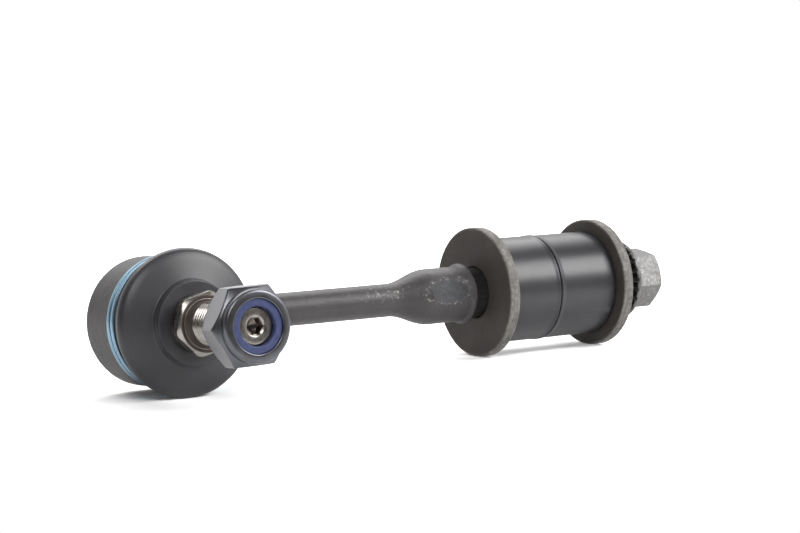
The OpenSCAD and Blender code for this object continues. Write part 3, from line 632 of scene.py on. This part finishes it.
sheet_z, sheet_lean = -0.02002, 0.0429
floor_mesh = bpy.data.meshes.new("white_sheet")
left, right, front, back = -0.3, 0.7, -0.14, 1.1
floor_mesh.from_pydata([on_sheet(left, front), on_sheet(right, front), on_sheet(right, back), on_sheet(left, back)],
                       [], [(0, 1, 2, 3)])
white_sheet, tree, place = start_finish("white_sheet")
path = node(tree, "LightPath")
seen = node(tree, "Math", {0: path.outputs["Is Camera Ray"], 1: path.outputs["Is Glossy Ray"]}, operation="MAXIMUM")
seen = node(tree, "Math", {0: seen.outputs[0], 1: path.outputs["Is Transmission Ray"]}, operation="MAXIMUM")
far = node(tree, "VectorMath", {0: place}, operation="LENGTH").outputs["Value"]
paler = node(tree, "MapRange", {"Value": far, "From Min": 0.02, "From Max": 0.7, "To Min": 0.02, "To Max": 1.0})
lift = node(tree, "Math", {0: seen.outputs[0], 1: paler.outputs[0]}, operation="MULTIPLY")
# The camera alone sees the paper one and a half times as bright as white, so that its shading stays pale.
pale = node(tree, "Mix", {"Factor": path.outputs["Is Camera Ray"], 6: linear("#f4f4f4"), 7: (1.5, 1.5, 1.5, 1)},
            data_type="RGBA")
paper = node(tree, "BsdfDiffuse", {"Color": pale.outputs[2]})
glow = node(tree, "Emission", {"Color": (1, 1, 1, 1), "Strength": lift.outputs[0]})
both = node(tree, "AddShader", {0: paper.outputs[0], 1: glow.outputs[0]})
end_finish(tree, both)
floor_mesh.materials.append(white_sheet)
table = bpy.data.objects.new("white_sheet", floor_mesh)
bpy.context.scene.collection.objects.link(table)

# Light
# A big soft lamp overhead and behind, a softbox at the right in front, a small lamp at the left in front, and a white
# room that is dark on the camera's side. The camera sees the room as plain white.
world = bpy.data.worlds.new("white_room")
bpy.context.scene.world = world
world.use_nodes = True
tree = world.node_tree
path = node(tree, "LightPath")
seen = node(tree, "Math", {0: path.outputs["Is Camera Ray"], 1: path.outputs["Is Transmission Ray"]},
            operation="MAXIMUM")
facing = node(tree, "SeparateXYZ", {"Vector": node(tree, "TexCoord").outputs["Generated"]})
white_behind = node(tree, "MapRange", {"Value": facing.outputs["Y"], "From Min": -0.1, "From Max": 0.35})
white_right = node(tree, "MapRange", {"Value": facing.outputs["X"], "From Min": 0.62, "From Max": 0.85})
dim_left = node(tree, "MapRange", {"Value": facing.outputs["X"], "From Min": -0.75, "From Max": -0.25, "To Min": 0.3,
                                   "To Max": 1.0})
walls = node(tree, "Math", {0: white_behind.outputs[0], 1: white_right.outputs[0]}, operation="MAXIMUM")
walls = node(tree, "Math", {0: walls.outputs[0], 1: dim_left.outputs[0]}, operation="MULTIPLY")
stray = node(tree, "MapRange", {"Value": path.outputs["Is Glossy Ray"], "To Min": 0.15, "To Max": 0.0})
lit = node(tree, "Math", {0: walls.outputs[0], 1: stray.outputs[0]}, operation="MAXIMUM")
room = node(tree, "Mix", {"Factor": lit.outputs[0], 6: linear("#352f2b"), 7: (1, 1, 1, 1)}, data_type="RGBA")
strength = node(tree, "MapRange", {"Value": path.outputs["Is Glossy Ray"], "To Min": 0.6, "To Max": 0.95})
studio = node(tree, "Background", {"Color": room.outputs[2], "Strength": strength.outputs[0]})
backdrop = node(tree, "Background", {"Color": (1, 1, 1, 1), "Strength": 1.0})
both = node(tree, "MixShader", {0: seen.outputs[0], 1: studio.outputs[0], 2: backdrop.outputs[0]})
tree.links.new(both.outputs[0], tree.nodes["World Output"].inputs["Surface"])
for name, at, aim, size, watts in (
        ("overhead", (0.25, 0.42, 0.7), (0.2, 0.1, 0), (1.0, 0.6), 5.5),
        ("softbox", (0.65, -0.64, 0.52), (0.07, 0, 0), (0.6, 0.5), 8.0),
        ("front_left", (-0.35, -0.72, 0.55), (0, 0, 0), (0.42, 0.34), 3.2)):
    lamp = bpy.data.lights.new(name, "AREA")
    lamp.shape, lamp.size, lamp.size_y, lamp.energy = "RECTANGLE", *size, watts
    lamp_object = bpy.data.objects.new(name, lamp)
    lamp_object.location = at
    lamp_object.rotation_euler = (Vector(aim) - Vector(at)).to_track_quat("-Z", "Y").to_euler()
    bpy.context.scene.collection.objects.link(lamp_object)

# Camera
# It stands 0.6 m away, to the left of the stud and a little above it, as in the photograph. Its three axes and its
# place are the columns of its matrix.
camera_right, camera_up = (0.836535, -0.545004, -0.056387), (0.068329, 0.001658, 0.997661)
camera_back, camera_at = (-0.543636, -0.838432, 0.038626), (-0.272881, -0.542191, 0.03509)
camera = bpy.data.cameras.new("camera")
camera.sensor_width, camera.lens, camera.clip_start = 36.0, 97.13, 0.01
camera_object = bpy.data.objects.new("camera", camera)
view = np.eye(4)
view[:3] = np.transpose([camera_right, camera_up, camera_back, camera_at])
camera_object.matrix_world = Matrix(view.tolist())
bpy.context.scene.collection.objects.link(camera_object)
bpy.context.scene.camera = camera_object
bpy.context.scene.view_settings.view_transform = "Standard"
